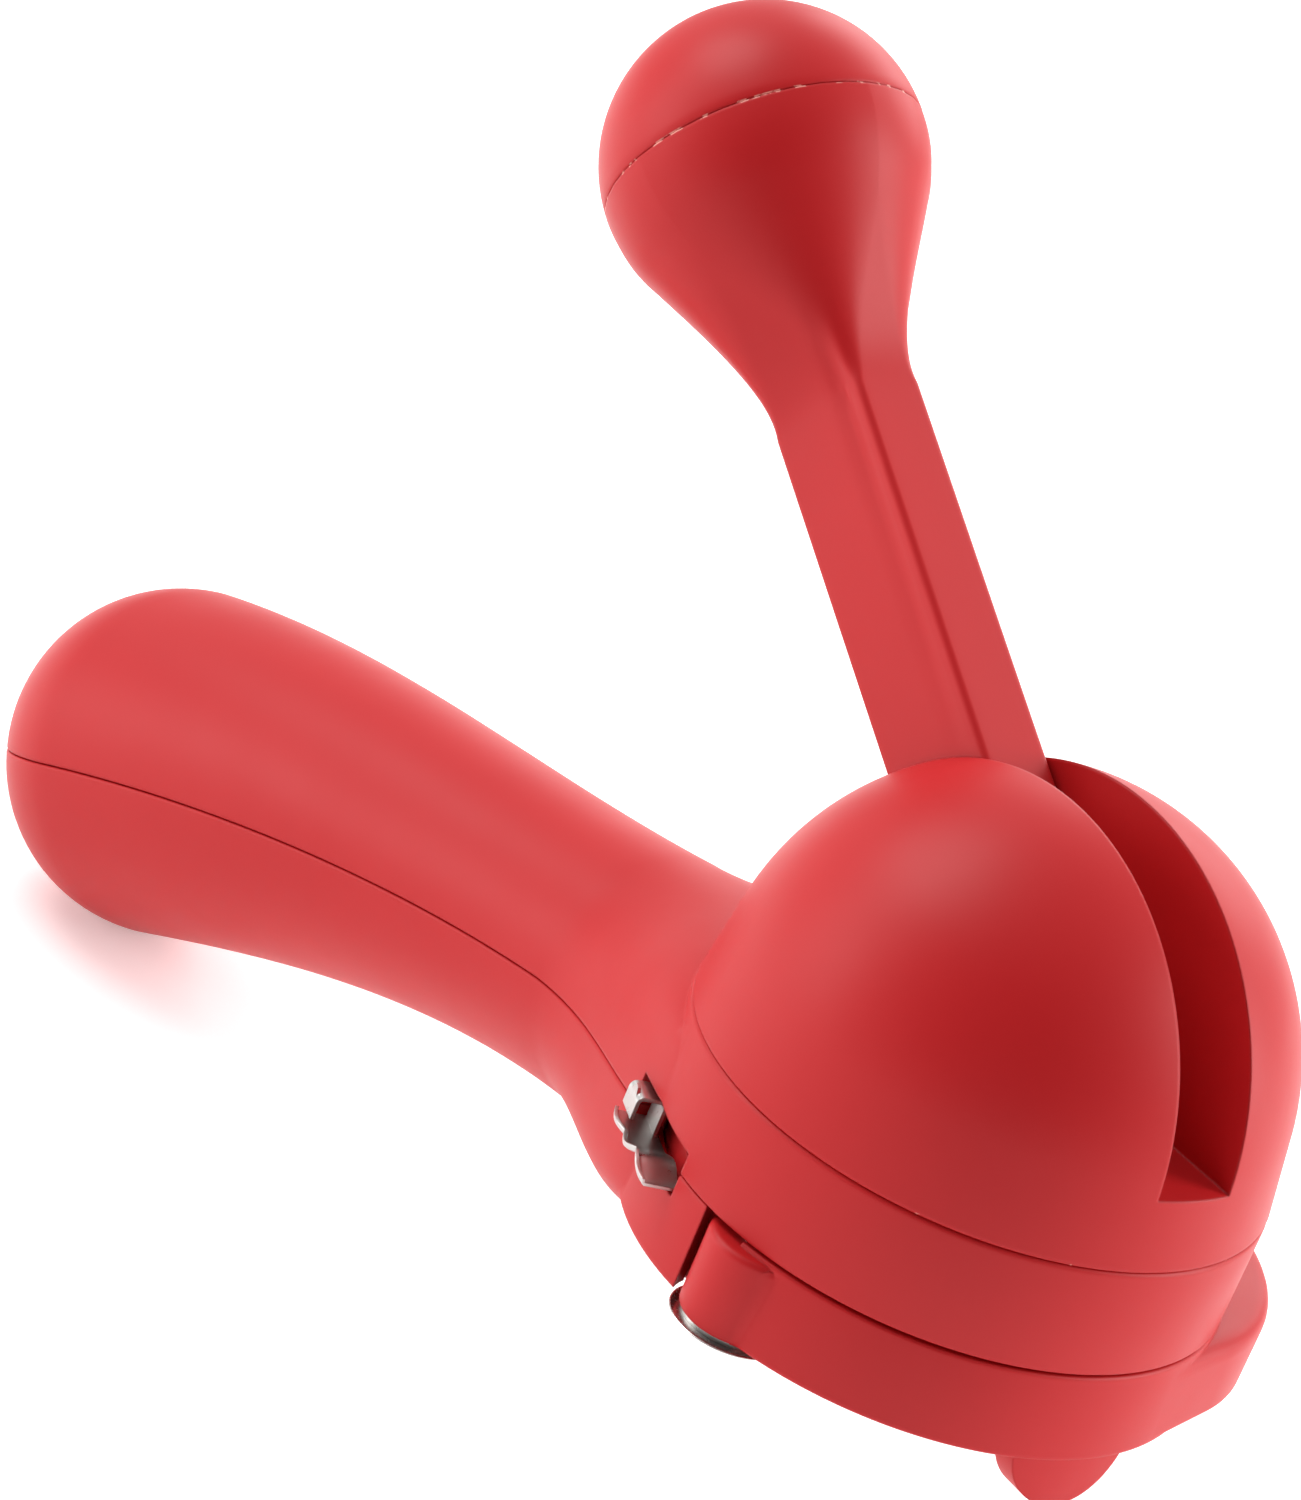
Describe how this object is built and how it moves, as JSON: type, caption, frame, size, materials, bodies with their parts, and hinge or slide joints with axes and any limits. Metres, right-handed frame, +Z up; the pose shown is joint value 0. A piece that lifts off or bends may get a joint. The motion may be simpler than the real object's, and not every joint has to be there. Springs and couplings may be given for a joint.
{
  "type": "garlic press",
  "caption": "Hand garlic press: round slotted dome head, ball-ended lever driving a plunger by pinion and rack, bulb-ended handle and a swing-out strainer ring.",
  "frame": {"origin": "centre of the outlet, in the plane of its rim under the head", "axes": "+Z up along the head's axis, +X to the front, away from the handle"},
  "size_m": [0.1774, 0.0696, 0.1398],
  "materials": {
    "red_body": "satin moulded plastic",
    "white_plastic": "natural acetal",
    "grey_plastic": "filled nylon",
    "silicone": "soft silicone",
    "steel": "stainless"
  },
  "bodies": {
    "body": {"upper_shell": "red_body", "lower_shell": "red_body", "shell_screws": "steel", "dome_cover": "red_body", "dome_screws": "steel", "chamber_sleeve": "white_plastic", "bush_left": "white_plastic", "bush_right": "white_plastic", "pivot_rivet": "steel", "rivet_washer": "steel", "detent_spring": "steel"},
    "lever": {"lever_arm": "red_body", "ball_cap": "red_body", "drive_shaft": "steel", "pinion_left": "grey_plastic", "pinion_right": "grey_plastic", "shaft_clips": "steel"},
    "press": {"plunger": "white_plastic", "rack_left": "grey_plastic", "rack_right": "grey_plastic", "rack_screws": "steel", "press_face": "silicone"},
    "swing_ring": {"ring_carrier": "red_body", "strainer_plate": "steel", "strainer_retainer": "steel"}
  },
  "joints": [
    {"name": "lever_swing", "type": "hinge", "parent": "body", "child": "lever", "pos_m": [0, 0, 0.0351], "axis": [0, 1, 0], "range_deg": [0, 146]},
    {"name": "plunger_slide", "type": "slide", "parent": "body", "child": "press", "axis": [0, 0, -1], "range_m": [0, 0.01148]},
    {"name": "ring_swing", "type": "hinge", "parent": "body", "child": "swing_ring", "pos_m": [0.00458, -0.026, 0], "axis": [0, 0, 1], "range_deg": [-105, 0]}
  ],
  "couplings": [
    {"joint": "plunger_slide", "follows": "lever_swing", "m_per_rad": 0.0045}
  ]
}
